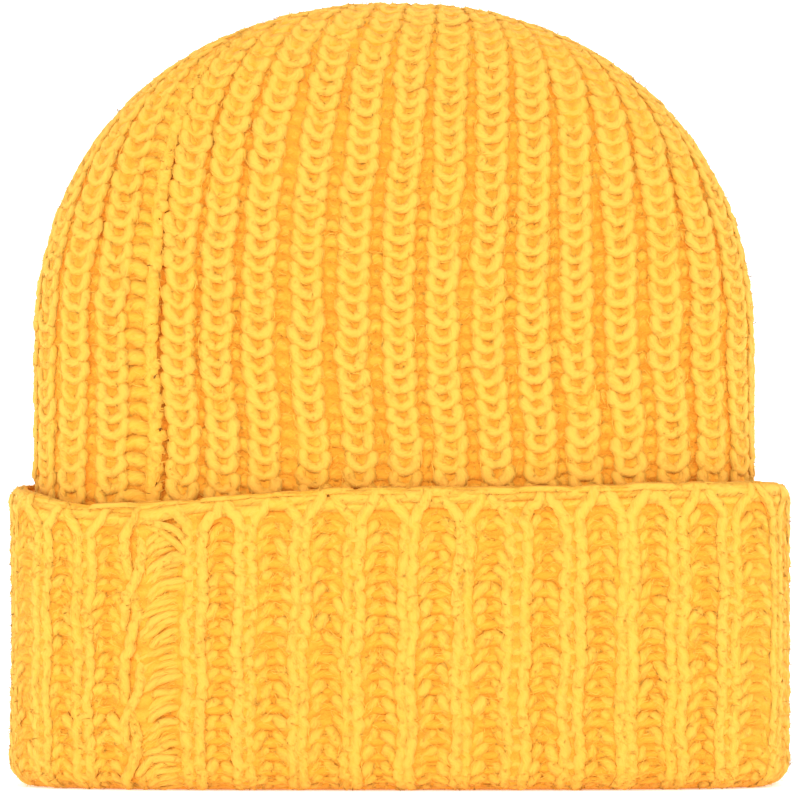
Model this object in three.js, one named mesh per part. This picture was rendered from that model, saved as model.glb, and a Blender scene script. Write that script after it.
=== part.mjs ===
// A chunky ribbed beanie with a turned-up cuff, standing on the fold of the cuff.
// Millimetres, +Z up, the front faces -Y. The origin is the middle of the footprint, on the surface it stands on.
import * as THREE from 'three';

const gap = 0.3; // clearance that neighbouring pieces keep
const pointsPerRib = 4; // two on the crest of a rib and two in the furrow beside it

// The fabric is closed at a seam, and the ribs are counted from there, to the right as the front is seen.
// The two ribs beside the seam are narrower: firstRib and lastRib are shares of a full one.
// Turned over into the cuff, the furrows between those ribs show as narrow columns.

const crown = {
  firstRib: 0.82,
  fullRibs: 39,
  lastRib: 0.65,
  wall: 6, // thickness of the fabric
  halfWidth: 100.8,
  halfDepth: 42,
  ovalPower: 3.3, // 2 is an ellipse, more is squarer
  middleX: -1.5, // the crown sits a little left of the cuff's middle
  foot: 7, // the wall ends here, on the fold of the cuff
  cuffLevel: 84,
  spring: 124, // the dome starts here
  domeHeight: 96,
  domePower: 2.15,
  lean: 6, // the top sits this much further back than the foot
  leanLength: 100,
  gatherX: 8, // where the ribs meet, off the middle of the dome
  gatherY: 23,
  gatherRise: 82,
  gatherRadius: 9, // the drawn-in hole that the ribs stop at
  dimpleRadius: 7.5,
  dimpleDepth: 6,
  seamX: -64.5, // from the crown's own middle
  crest: 0.26, // half width of a rib's crest, in ribs
  furrow: 0.41, // distance from the rib's middle to the furrow's floor, in ribs
  ribDepth: 2.2,
  domeRows: 9,
};

const cuff = {
  columns: 40,
  seamToFirst: 1.15, // in columns, as is lastToSeam
  lastToSeam: 0.92,
  halfWidth: 109.5,
  halfDepth: 50.5,
  ovalPower: 3.3,
  thickness: 6.4,
  height: 84,
  edgeHeight: 4.5, // the bound edge that crowns the cuff
  seamX: -74.3,
  frontSpread: 0.04, // the columns are this much wider apart in front than on average
  crest: 0.16,
  furrow: 0.27,
  ribDepth: 1.6,
};

// The fold under the cuff, as steps in from the cuff's outline and up from the surface.
const fold = {
  cornerIn: 9,
  cornerUp: 7,
  cornerSteps: 3,
  flatTo: 12,
  reach: 14,
  reachUp: 2.2,
  lipUp: 6.4,
};

// The cuff's top edge dips at the front left and rises a little towards the right.
const edgeWaves = [
  { x: -90, width: 14, rise: -2.5 },
  { x: -68, width: 30, rise: -3.6 },
  { x: 100, width: 45, rise: 1.5 },
];

const seamRidge = { width: 5, topWidth: 3, rise: 0.35, height: 2.8, start: 14, share: 0.9 };
const cuffSeam = { halfWidth: 1.9, height: 1.6, start: 9 };
const gatherKnot = { radius: 5.6, height: 5, sides: 14 };

const yarnColour = 0xfdc64a;
const shadedColour = 0xf6b540;

// Rounds a share from 0 to 1 so that it leaves and arrives level.
function ease(t) {
  const s = Math.min(1, Math.max(0, t));
  return s * s * (3 - 2 * s);
}

// An oval |x/a|^n + |y/b|^n = 1 as a closed run of points at equal angles of its own parameter.
function ovalPoint(a, b, power, t) {
  const c = Math.cos(t);
  const s = Math.sin(t);
  const x = a * Math.sign(c) * Math.abs(c) ** (2 / power);
  const y = b * Math.sign(s) * Math.abs(s) ** (2 / power);
  return new THREE.Vector2(x, y);
}

// The oval measured along its edge: returns a function from a share of the way round to a point.
// The way starts on the front at startX and runs towards +X.
function measuredOval({ halfWidth, halfDepth, ovalPower, seamX }) {
  const steps = 4000;
  const points = [];
  const along = [0];
  const startT = startAngle(halfWidth, ovalPower, seamX);
  for (let i = 0; i <= steps; i++) {
    points.push(ovalPoint(halfWidth, halfDepth, ovalPower, startT + (i / steps) * 2 * Math.PI));
    if (i > 0) along.push(along[i - 1] + points[i].distanceTo(points[i - 1]));
  }
  const round = along[steps];
  return (share) => {
    const wanted = (share - Math.floor(share)) * round;
    let low = 0;
    let high = steps;
    while (high - low > 1) {
      const middle = (low + high) >> 1;
      if (along[middle] <= wanted) low = middle;
      else high = middle;
    }
    const rest = (wanted - along[low]) / (along[high] - along[low]);
    return points[low].clone().lerp(points[high], rest);
  };
}

// The parameter of the front point whose x is startX.
function startAngle(halfWidth, power, startX) {
  const c = Math.sign(startX) * Math.abs(startX / halfWidth) ** (power / 2);
  return 2 * Math.PI - Math.acos(c);
}

// Every rib gives four stations round the hat: each holds its share of the way round and its relief from 0 to -1.
function ribStations(ribs, round, { crest, furrow }) {
  const profile = [
    { at: -furrow, relief: -1 },
    { at: -crest, relief: 0 },
    { at: crest, relief: 0 },
    { at: furrow, relief: -1 },
  ];
  return ribs.flatMap(({ middle, width }) =>
    profile.map(({ at, relief }) => ({ share: (middle + at * width) / round, relief })),
  );
}

function crownStations() {
  const { firstRib, fullRibs, lastRib } = crown;
  const ribs = [{ middle: firstRib / 2, width: firstRib }];
  for (let i = 0; i < fullRibs; i++) ribs.push({ middle: firstRib + i + 0.5, width: 1 });
  ribs.push({ middle: firstRib + fullRibs + lastRib / 2, width: lastRib });
  return ribStations(ribs, firstRib + fullRibs + lastRib, crown);
}

function cuffStations() {
  const { columns, seamToFirst, lastToSeam } = cuff;
  const ribs = [];
  for (let i = 0; i < columns; i++) ribs.push({ middle: seamToFirst + i, width: 1 });
  return ribStations(ribs, seamToFirst + columns - 1 + lastToSeam, cuff);
}

// The crown's smooth outside. A rib climbs straight to the spring line and then over the dome,
// in a plane that swings from upright towards the gather.
function domePoint(foot, climb) {
  const up = Math.sin(climb);
  const out = Math.cos(climb);
  const swing = ease(climb / (Math.PI / 2));
  const x = foot.x * out + crown.gatherX * up * swing;
  const y = foot.y * out + crown.gatherY * up * swing;
  const z = crown.gatherRise * up;
  const oval = Math.abs(x / crown.halfWidth) ** crown.ovalPower + Math.abs(y / crown.halfDepth) ** crown.ovalPower;
  const size = oval ** (crown.domePower / crown.ovalPower) + (z / crown.domeHeight) ** crown.domePower;
  const scale = size ** (-1 / crown.domePower);
  return leant(new THREE.Vector3(x * scale, y * scale, z * scale + crown.spring));
}

// Puts a point of the crown in its place: the whole top leans back, from the cuff up.
function leant(point) {
  point.x += crown.middleX;
  point.y += crown.lean * ease((point.z - crown.cuffLevel) / crown.leanLength);
  return point;
}

// One rib's line over the dome, cut into equal lengths and stopped at the gather's rim.
function climbLine(foot, rows) {
  const steps = 240;
  const points = [];
  const along = [0];
  for (let i = 0; i <= steps; i++) {
    points.push(domePoint(foot, ((i / steps) * Math.PI) / 2));
    if (i > 0) along.push(along[i - 1] + points[i].distanceTo(points[i - 1]));
  }
  const length = along[steps] - crown.gatherRadius;
  const line = [];
  for (let row = 1; row <= rows; row++) {
    const wanted = (length * row) / rows;
    const high = along.findIndex((value) => value >= wanted);
    const rest = (wanted - along[high - 1]) / (along[high] - along[high - 1]);
    line.push(points[high - 1].clone().lerp(points[high], rest));
  }
  return line;
}

// Outward normals of a grid of points[row][column] that is closed round its columns.
function gridNormals(grid) {
  return grid.map((row, r) =>
    row.map((_, c) => {
      const below = grid[Math.max(0, r - 1)][c];
      const above = grid[Math.min(grid.length - 1, r + 1)][c];
      const left = row[(c + row.length - 1) % row.length];
      const right = row[(c + 1) % row.length];
      const around = right.clone().sub(left);
      const upward = above.clone().sub(below);
      return around.cross(upward).normalize();
    }),
  );
}

// Joins rings of points into one closed skin. Rings of different counts meet where one has twice the other's.
class Skin {
  constructor() {
    this.positions = [];
    this.index = [];
  }

  ring(points) {
    const first = this.positions.length / 3;
    for (const p of points) this.positions.push(p.x, p.y, p.z);
    return { first, count: points.length };
  }

  triangle(a, b, c) {
    this.index.push(a, b, c);
  }

  // The band between two rings, seen from the side that faces out when "to" lies above "from".
  band(from, to) {
    const steps = Math.max(from.count, to.count);
    const at = (ring, i) => ring.first + (Math.floor((i * ring.count) / steps) % ring.count);
    for (let i = 0; i < steps; i++) {
      const a = at(from, i);
      const b = at(from, i + 1);
      const c = at(to, i);
      const d = at(to, i + 1);
      if (a !== b) this.triangle(a, b, d);
      if (c !== d) this.triangle(a, d, c);
    }
  }

  // A fan that closes a ring at one point; the ring runs anticlockwise seen from outside.
  fan(ring, tip) {
    const apex = this.ring([tip]).first;
    for (let i = 0; i < ring.count; i++) {
      this.triangle(ring.first + i, ring.first + ((i + 1) % ring.count), apex);
    }
  }

  // The same fan, seen from the other side.
  fanBelow(ring, tip) {
    const apex = this.ring([tip]).first;
    for (let i = 0; i < ring.count; i++) {
      this.triangle(ring.first + ((i + 1) % ring.count), ring.first + i, apex);
    }
  }

  geometry() {
    const geometry = new THREE.BufferGeometry();
    geometry.setAttribute('position', new THREE.Float32BufferAttribute(this.positions, 3));
    geometry.setIndex(this.index);
    geometry.computeVertexNormals();
    return geometry;
  }
}

function everySecond(list) {
  return list.filter((_, i) => i % 2 === 0);
}

// The smooth crown as a grid: the foot, the cuff's level, the spring line and the rows over the dome.
function crownGrid(stations) {
  const oval = measuredOval(crown);
  const feet = stations.map(({ share }) => oval(share));
  const levels = [crown.foot, crown.cuffLevel, crown.spring];
  const straight = levels.map((z) => feet.map((foot) => leant(new THREE.Vector3(foot.x, foot.y, z))));
  const lines = feet.map((foot) => climbLine(foot, crown.domeRows));
  const dome = [];
  for (let row = 0; row < crown.domeRows; row++) dome.push(lines.map((line) => line[row]));
  return [...straight, ...dome];
}

// The gather's middle and the way it faces.
function gatherFrame() {
  const middle = domePoint(new THREE.Vector2(0, 0), Math.PI / 2);
  const step = 0.02;
  const side = (x, y) => domePoint(new THREE.Vector2(x, y), Math.PI / 2 - step);
  const across = side(crown.halfWidth, 0).sub(side(-crown.halfWidth, 0));
  const back = side(0, crown.halfDepth).sub(side(0, -crown.halfDepth));
  return { middle, facing: across.cross(back).normalize() };
}

// Moves a ring towards the gather's axis and along it.
function drawnIn(ring, { middle, facing }, radius, depth) {
  return ring.map((point) => {
    const arm = point.clone().sub(middle);
    arm.addScaledVector(facing, -arm.dot(facing)).setLength(radius);
    return middle.clone().add(arm).addScaledVector(facing, -depth);
  });
}

// The knitted body: a ribbed wall from the fold to the gather, open below.
function crownGeometry() {
  const stations = crownStations();
  const grid = crownGrid(stations);
  const normals = gridNormals(grid);
  const skin = new Skin();
  const outside = grid.map((row, r) => {
    const points = row.map((point, c) => {
      const next = row[(c + pointsPerRib) % row.length];
      const depth = Math.min(crown.ribDepth, 0.25 * point.distanceTo(next));
      return point.clone().addScaledVector(normals[r][c], depth * stations[c].relief);
    });
    return skin.ring(points);
  });
  const inside = grid.map((row, r) =>
    skin.ring(everySecond(row.map((point, c) => point.clone().addScaledVector(normals[r][c], -crown.wall)))),
  );
  for (let r = 0; r + 1 < grid.length; r++) {
    skin.band(outside[r], outside[r + 1]);
    skin.band(inside[r + 1], inside[r]);
  }
  skin.band(inside[0], outside[0]);

  const frame = gatherFrame();
  const rim = grid[grid.length - 1];
  const bottom = skin.ring(drawnIn(rim, frame, crown.dimpleRadius, crown.dimpleDepth));
  skin.band(outside[grid.length - 1], bottom);
  skin.fan(bottom, frame.middle.clone().addScaledVector(frame.facing, -crown.dimpleDepth - gap));
  const ceiling = frame.middle.clone().addScaledVector(frame.facing, -crown.dimpleDepth - crown.wall);
  skin.fanBelow(inside[grid.length - 1], ceiling);
  return skin.geometry();
}

// Height of the cuff's edge above the surface, at a point of its outline.
function edgeHeight(point) {
  const front = ease((10 - point.y) / 40);
  let height = cuff.height;
  for (const { x, width, rise } of edgeWaves) {
    height += front * rise * Math.exp(-(((point.x - x) / width) ** 2));
  }
  return height;
}

// The cuff's outline at each station, with the way out from it.
function cuffOutline(stations) {
  const oval = measuredOval(cuff);
  const frontShare = 0.18; // the share at which the way round passes the middle of the front
  const swing = 2 * Math.PI;
  return stations.map(({ share, relief }) => {
    const spread = (cuff.frontSpread / swing) * Math.sin(swing * (share - frontShare));
    const start = (cuff.frontSpread / swing) * Math.sin(swing * -frontShare);
    const at = share + spread - start;
    const point = oval(at);
    const ahead = oval(at + 0.002).sub(oval(at - 0.002));
    return { point, relief, out: new THREE.Vector2(ahead.y, -ahead.x).normalize(), top: edgeHeight(point) };
  });
}

function cuffPoint({ point, out }, outward, z) {
  return new THREE.Vector3(point.x + out.x * outward, point.y + out.y * outward, z);
}

// The turned-up band with the fold under it that the crown's wall stands on.
function cuffGeometry() {
  const outline = cuffOutline(cuffStations());
  const inner = everySecond(outline);
  const skin = new Skin();
  const outerRing = (outward, height) =>
    skin.ring(outline.map((o) => cuffPoint(o, outward(o), typeof height === 'function' ? height(o) : height)));
  const innerRing = (outward, height) =>
    skin.ring(inner.map((o) => cuffPoint(o, outward, typeof height === 'function' ? height(o) : height)));
  const bodyTop = (o) => o.top - cuff.edgeHeight - gap;
  const ribbed = (o) => o.relief * cuff.ribDepth;

  const rings = [innerRing(-fold.flatTo, 0)];
  for (let i = 0; i <= fold.cornerSteps; i++) {
    const turn = ((i / fold.cornerSteps) * Math.PI) / 2;
    const inward = -fold.cornerIn * (1 - Math.sin(turn));
    rings.push(outerRing((o) => inward + ribbed(o) * Math.sin(turn), fold.cornerUp * (1 - Math.cos(turn))));
  }
  rings.push(outerRing(ribbed, (o) => bodyTop(o) - 1));
  rings.push(innerRing(-1.6 - cuff.ribDepth, bodyTop));
  rings.push(innerRing(1.2 - cuff.thickness, bodyTop));
  rings.push(innerRing(-cuff.thickness, (o) => bodyTop(o) - 1.2));
  rings.push(innerRing(-cuff.thickness, fold.lipUp + 1));
  rings.push(innerRing(-cuff.thickness - 0.5, fold.lipUp));
  rings.push(innerRing(-fold.reach + 1, fold.lipUp));
  rings.push(innerRing(-fold.reach, fold.lipUp - 1.2));
  rings.push(innerRing(-fold.reach, fold.reachUp));
  for (let i = 0; i < rings.length; i++) skin.band(rings[i], rings[(i + 1) % rings.length]);
  return skin.geometry();
}

// The bound edge: a soft cord of one course that lies along the cuff's top.
function cuffEdgeGeometry() {
  const sides = 6;
  const outline = everySecond(cuffOutline(cuffStations()));
  const skin = new Skin();
  const rings = [];
  for (let i = 0; i < sides; i++) {
    const turn = (-(i + 0.5) / sides) * 2 * Math.PI;
    const across = (cuff.thickness / 2 / Math.cos(Math.PI / sides)) * Math.sin(turn);
    const rise = (cuff.edgeHeight / 2 / Math.cos(Math.PI / sides)) * Math.cos(turn);
    rings.push(
      skin.ring(outline.map((o) => cuffPoint(o, -across - cuff.thickness / 2, o.top - cuff.edgeHeight / 2 - rise))),
    );
  }
  for (let i = 0; i < sides; i++) skin.band(rings[i], rings[(i + 1) % sides]);
  return skin.geometry();
}

// A strip whose section, given as [across, outward] pairs, rides along frames of point, out and across.
function stripGeometry(frames, section) {
  const skin = new Skin();
  const rings = frames.map(({ point, out, across }) =>
    skin.ring(section.map(([a, o]) => point.clone().addScaledVector(across, a).addScaledVector(out, o))),
  );
  for (let i = 0; i + 1 < rings.length; i++) skin.band(rings[i], rings[i + 1]);
  const middle = (points) => points.reduce((sum, p) => sum.add(p), new THREE.Vector3()).divideScalar(points.length);
  const ends = [frames[0], frames[frames.length - 1]].map(({ point, out, across }) =>
    middle(section.map(([a, o]) => point.clone().addScaledVector(across, a).addScaledVector(out, o))),
  );
  skin.fanBelow(rings[0], ends[0]);
  skin.fan(rings[rings.length - 1], ends[1]);
  return skin.geometry();
}

// The seam's allowance: a low ridge down the inside of the crown.
function crownSeamGeometry() {
  const grid = crownGrid(crownStations());
  const normals = gridNormals(grid);
  const last = grid[0].length - 1;
  const rows = Math.floor(grid.length * seamRidge.share);
  const frames = [];
  for (let r = 0; r < rows; r++) {
    const left = grid[r][last].clone().addScaledVector(normals[r][last], -crown.wall);
    const right = grid[r][0].clone().addScaledVector(normals[r][0], -crown.wall);
    const out = normals[r][last].clone().add(normals[r][0]).normalize();
    const across = grid[r][1].clone().sub(grid[r][last]).normalize();
    const point = left.lerp(right, 0.5);
    if (r === 0) point.z = seamRidge.start;
    frames.push({ point, out, across });
  }
  const { width, topWidth, rise, height } = seamRidge;
  const section = [
    [-width / 2, -gap - rise],
    [-topWidth / 2, -gap - height],
    [topWidth / 2, -gap - height],
    [width / 2, -gap - rise],
  ].reverse();
  return stripGeometry(frames, section);
}

// The seam where it shows on the cuff: a raised line of whipped stitches, between two ribs.
function cuffSeamGeometry() {
  const outline = cuffOutline(cuffStations());
  const { point, out } = cuffOutline([{ share: 0, relief: 0 }])[0];
  const across = new THREE.Vector3(-out.y, out.x, 0);
  const outward = new THREE.Vector3(out.x, out.y, 0);
  const top = Math.min(outline[0].top, outline[outline.length - 1].top) - cuff.edgeHeight - 2 * gap - 1;
  const floor = -cuff.ribDepth + gap;
  const frames = [cuffSeam.start, top].map((z) => ({
    point: new THREE.Vector3(point.x, point.y, z),
    out: outward,
    across,
  }));
  const section = [
    [-cuffSeam.halfWidth, floor],
    [-cuffSeam.halfWidth / 2, floor + cuffSeam.height],
    [cuffSeam.halfWidth / 2, floor + cuffSeam.height],
    [cuffSeam.halfWidth, floor],
  ];
  return stripGeometry(frames, section);
}

// The knot of drawing yarn that closes the gather, a low dome in the dimple.
function gatherKnotMesh() {
  const { radius, height, sides } = gatherKnot;
  const shape = [
    [0, 0],
    [radius * 0.75, 0],
    [radius, height * 0.35],
    [radius * 0.8, height * 0.8],
    [radius * 0.35, height],
    [0, height],
  ].map(([r, z]) => new THREE.Vector2(r, z));
  const geometry = new THREE.LatheGeometry(shape, sides);
  const mesh = meshOf('crown_gather', geometry, shadedColour);
  const { middle, facing } = gatherFrame();
  mesh.quaternion.setFromUnitVectors(new THREE.Vector3(0, 1, 0), facing);
  mesh.position.copy(middle).addScaledVector(facing, gap - crown.dimpleDepth);
  return mesh;
}

function meshOf(name, geometry, colour) {
  const material = new THREE.MeshStandardMaterial({ color: colour, roughness: 0.95, metalness: 0 });
  const mesh = new THREE.Mesh(geometry, material);
  mesh.name = name;
  return mesh;
}

const beanie = new THREE.Group();
beanie.name = 'beanie';
beanie.add(
  meshOf('crown', crownGeometry(), yarnColour),
  meshOf('cuff', cuffGeometry(), yarnColour),
  meshOf('cuff_edge', cuffEdgeGeometry(), yarnColour),
  meshOf('crown_seam', crownSeamGeometry(), shadedColour),
  meshOf('cuff_seam', cuffSeamGeometry(), shadedColour),
  gatherKnotMesh(),
);

export default beanie;
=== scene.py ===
import math

import bpy
import numpy as np
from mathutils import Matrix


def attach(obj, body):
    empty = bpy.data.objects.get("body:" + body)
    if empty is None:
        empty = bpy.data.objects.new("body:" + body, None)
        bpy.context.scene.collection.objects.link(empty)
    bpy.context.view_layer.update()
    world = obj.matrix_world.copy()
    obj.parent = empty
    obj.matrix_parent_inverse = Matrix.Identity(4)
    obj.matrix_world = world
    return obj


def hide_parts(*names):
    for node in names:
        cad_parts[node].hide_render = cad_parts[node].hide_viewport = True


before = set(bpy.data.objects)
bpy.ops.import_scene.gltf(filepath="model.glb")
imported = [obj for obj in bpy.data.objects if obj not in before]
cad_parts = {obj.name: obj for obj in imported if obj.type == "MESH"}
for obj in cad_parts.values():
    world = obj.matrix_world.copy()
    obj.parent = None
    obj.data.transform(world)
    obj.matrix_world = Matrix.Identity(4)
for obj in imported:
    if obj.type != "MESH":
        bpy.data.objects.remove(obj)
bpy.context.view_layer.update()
rng = np.random.default_rng(7)
print("frame loaded")

# All sizes below are in millimetres, and become metres when a mesh is made.
# A place on the cloth is (across, along, lift): ribs counted to the right from the seam, courses of
# knitting counted up from the fold, and millimetres out from the cloth.


# Climbs from 0 to 1 and is level at both ends: 3 s^2 - 2 s^3, with s held between 0 and 1.
def ease(t):
    s = np.clip(t, 0, 1)
    return s * s * (3 - 2 * s)


# Vectors divided by their own lengths.
def unit(vectors):
    return vectors / np.maximum(np.linalg.norm(vectors, axis=-1, keepdims=True), 1e-6)


# Every pair of one value from each list, the first list changing slowest.
def pairs(first, second):
    one, two = np.meshgrid(first, second, indexing="ij")
    return one.ravel(), two.ravel()


# The length passed at each point, from the lengths of the steps between them (last axis).
def passedAfter(steps):
    return np.concatenate([0 * steps[..., :1], np.cumsum(steps, -1)], -1)


# The oval |x/a|^n + |y/b|^n = 1 from the seam on its front towards +X, with the length passed at
# each point.
def ovalRound(sizes, steps=6000):
    a, b, n, seamX = (sizes[key] for key in ("halfWidth", "halfDepth", "ovalPower", "seamX"))
    start = 2 * math.pi - math.acos(math.copysign(abs(seamX / a) ** (n / 2), seamX))
    t = start + np.linspace(0, 2 * math.pi, steps)
    c, s = np.cos(t), np.sin(t)
    x = a * np.sign(c) * np.abs(c) ** (2 / n)
    y = b * np.sign(s) * np.abs(s) ** (2 / n)
    return x, y, passedAfter(np.hypot(np.diff(x), np.diff(y)))


# Points of many polylines at once: lines is (n, m, 3), wanted is (n, k) as shares of each line's
# length.
def alongLines(lines, wanted):
    passed = passedAfter(np.linalg.norm(np.diff(lines, axis=1), axis=2))
    share = passed / passed[:, -1:]
    offset = 2.0 * np.arange(len(lines))[:, None]
    flat = (share + offset).ravel()
    asked = (wanted + offset).ravel()
    out = [np.interp(asked, flat, lines[:, :, k].ravel()) for k in range(3)]
    return np.stack(out, -1).reshape(wanted.shape + (3,))


# A surface kept as a grid of points (across, along), closed round the first axis. place() reads
# it between the grid points, linearly both ways, and moves out along the normal, which is the
# cross product of the grid's two directions.
class Cloth:
    def __init__(self, grid, across, along, firstCourse=0.0):
        self.grid, self.across, self.along, self.firstCourse = grid, across, along, firstCourse
        n, m = grid.shape[:2]
        du = (np.roll(grid, -1, 0) - np.roll(grid, 1, 0)) / (2 * across / n)
        dv = np.gradient(grid, axis=1) * (m - 1) / along
        self.normal = unit(np.cross(du, dv))
        self.pitch = np.linalg.norm(du, axis=2, keepdims=True)

    def read(self, field, u, v):
        n, m = field.shape[:2]
        a = (np.mod(u, self.across) / self.across) * n
        b = np.clip((v - self.firstCourse) / self.along, 0, 1) * (m - 1)
        i = np.floor(a).astype(int)
        j = np.minimum(np.floor(b).astype(int), m - 2)
        s, t = (a - i)[..., None], (b - j)[..., None]
        i, i1 = i % n, (i + 1) % n
        low = field[i, j] * (1 - s) + field[i1, j] * s
        high = field[i, j + 1] * (1 - s) + field[i1, j + 1] * s
        return low * (1 - t) + high * t

    def place(self, u, v, lift):
        out = self.read(self.normal, u, v) * np.asarray(lift)[..., None]
        return self.read(self.grid, u, v) + out


gridAcross = 12 * 41  # points round each cloth's grid

crown = {
    "ribPitch": 12.5,
    "firstRib": 0.82,  # the ribs beside the seam are narrower
    "fullRibs": 39,
    "lastRib": 0.65,
    "wall": 6.0,
    "halfWidth": 100.8,
    "halfDepth": 42.0,
    "ovalPower": 3.3,
    "middleX": -1.5,
    "foot": 7.0,
    "cuffLevel": 84.0,  # the top leans back from here up
    "spring": 124.0,  # the dome starts here
    "domeHeight": 96.0,
    "domePower": 2.15,
    "lean": 6.0,
    "leanLength": 100.0,
    "gather": (8.0, 23.0, 82.0),  # the dome's end, seen from the middle of its foot
    "gatherRadius": 9.0,
    "dimpleRadius": 4.5,
    "dimpleDepth": 5.5,
    "seamX": -64.5,
    "courses": 55,
    "sink": 3.4,  # the stitches stand on a base this far inside the outline
    "sideKick": 0.14,  # ribs by which the fabric just above the cuff is pushed to the right
}
first, full, last = crown["firstRib"], crown["fullRibs"], crown["lastRib"]
ribWidth = np.concatenate([[first], np.ones(full), [last]])
ribMiddle = np.concatenate([[first / 2], first + np.arange(full) + 0.5, [first + full + last / 2]])
loopMiddle = ribMiddle.copy()
loopMiddle[0] -= 0.07  # the rib beside the seam crowds it
crownRound = first + full + last


# Each rib climbs straight to the spring line, then over the dome: a direction swings from the
# foot towards the gather as cos and sin of the climb, and is stretched until it meets the surface
# (|x/a|^n + |y/b|^n)^(p/n) + (z/h)^p = 1. The whole top leans back by an eased distance.
def crownCloth(c):
    ox, oy, passed = ovalRound(c)
    share = np.arange(gridAcross) / gridAcross * passed[-1]
    fx, fy = np.interp(share, passed, ox)[:, None], np.interp(share, passed, oy)[:, None]
    climb = np.linspace(0, math.pi / 2, 140)[None, :]
    up, out = np.sin(climb), np.cos(climb)
    swing = ease(climb / (math.pi / 2))
    gx, gy, gz = c["gather"]
    x, y, z = fx * out + gx * up * swing, fy * out + gy * up * swing, gz * up + 0 * fx
    n, p = c["ovalPower"], c["domePower"]
    oval = np.abs(x / c["halfWidth"]) ** n + np.abs(y / c["halfDepth"]) ** n
    size = oval ** (p / n) + (z / c["domeHeight"]) ** p
    scale = size ** (-1 / p)
    dome = np.stack([x * scale, y * scale, z * scale + c["spring"]], -1)
    level = np.linspace(c["foot"], c["spring"], 40)[None, :-1]
    wall = np.stack([fx + 0 * level, fy + 0 * level, level + 0 * fx], -1)
    lines = np.concatenate([wall, dome], axis=1)
    lines[..., 0] += c["middleX"]
    lines[..., 1] += c["lean"] * ease((lines[..., 2] - c["cuffLevel"]) / c["leanLength"])
    length = np.linalg.norm(np.diff(lines, axis=1), axis=2).sum(1)
    stop = 1 - c["gatherRadius"] / length
    wanted = np.linspace(0, 1, c["courses"] * 4 + 1)[None, :] * stop[:, None]
    grid = alongLines(lines, wanted)
    middle = lines[0, -1]
    rim = grid[:, -1] - middle
    facing = unit(np.cross(rim, np.roll(rim, -gridAcross // 8, 0)).sum(0))
    return Cloth(grid, crownRound, c["courses"]), middle, facing


crownSkin, gatherMiddle, gatherFacing = crownCloth(crown)

# Places across, counted with even spacing, and where the photograph's ribs have them. The count
# starts left of the seam, where the spacing is still even.
evenFrom = 3.2
evenAcross, trueAcross = zip(
    (-evenFrom, -evenFrom), (-1.15, -1.22), (0, 0), (0.82, 0.8), (1.32, 1.2), (1.82, 1.67),
    (2.32, 2.16), (2.82, 2.69), (3.32, 3.25), (4.3, 4.3), (7.3, 7.35), (9.3, 9.34), (12.3, 12.42),
    (16, 16), (crownRound - evenFrom, crownRound - evenFrom),
)
wander = rng.normal(0, 1, (6, 3))


# The crown's cloth with its small pushes: ribs narrow right of the seam, lean right above the
# cuff, and wander.
def crownPlace(u, v, lift):
    low = np.mod(u + evenFrom, crownRound) - evenFrom
    across = np.interp(low, evenAcross, trueAcross)
    front = ease((low + 2) / 3) * ease((18 - low) / 5)  # the ribs that the photograph shows
    kick = 1 - ease((v - 19) / 5)  # fades from the cuff's edge up
    across = across + crown["sideKick"] * front * kick
    turn = 2 * math.pi * low / crownRound
    for k, (a, b, c) in enumerate(wander):
        across = across + 0.018 * a * np.sin((k + 1) * turn + 0.10 * (k + 2) * v + 3 * b + c)
        v = v + 0.05 * b * np.sin((k + 2) * turn - 0.07 * (k + 1) * v + 3 * c + a)
    return crownSkin.place(across, v, lift - crown["sink"])


print("crown surface worked out")

cuff = {
    "columns": 40,
    "seamToFirst": 1.25,
    "lastToSeam": 1.0,
    "halfWidth": 109.5,
    "halfDepth": 50.5,
    "ovalPower": 3.3,
    "thickness": 6.4,
    "height": 84.0,
    "seamX": -74.3,
    "frontSpread": 0.12,  # the front's columns lie this share further apart, around frontShare
    "frontShare": 0.185,
    "courses": 16,  # from the fold's corner to the bound edge
    "edgeHeight": 5.0,
    "pocketDepth": 22.0,  # how far the inner face goes down
    "swellHeight": 75.0,  # over how much of its height the upright face swells
    "cornerIn": 9.0,  # the fold's corner, in and up
    "cornerUp": 7.0,
    "flatTo": 12.0,  # the flat rest goes in to here
    "sink": 2.7,
}
# middle, width and rise of each wave in the cuff's top edge
edgeWaves = [(-90, 14, -2.5), (-68, 30, -3.6), (100, 45, 1.5)]
cuffRound = cuff["seamToFirst"] + cuff["columns"] - 1 + cuff["lastToSeam"]
columnMiddle = cuff["seamToFirst"] + np.arange(cuff["columns"])
foldCourses, edgeCourses, insideCourses = 4.0, 1.6, 5.0


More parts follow.
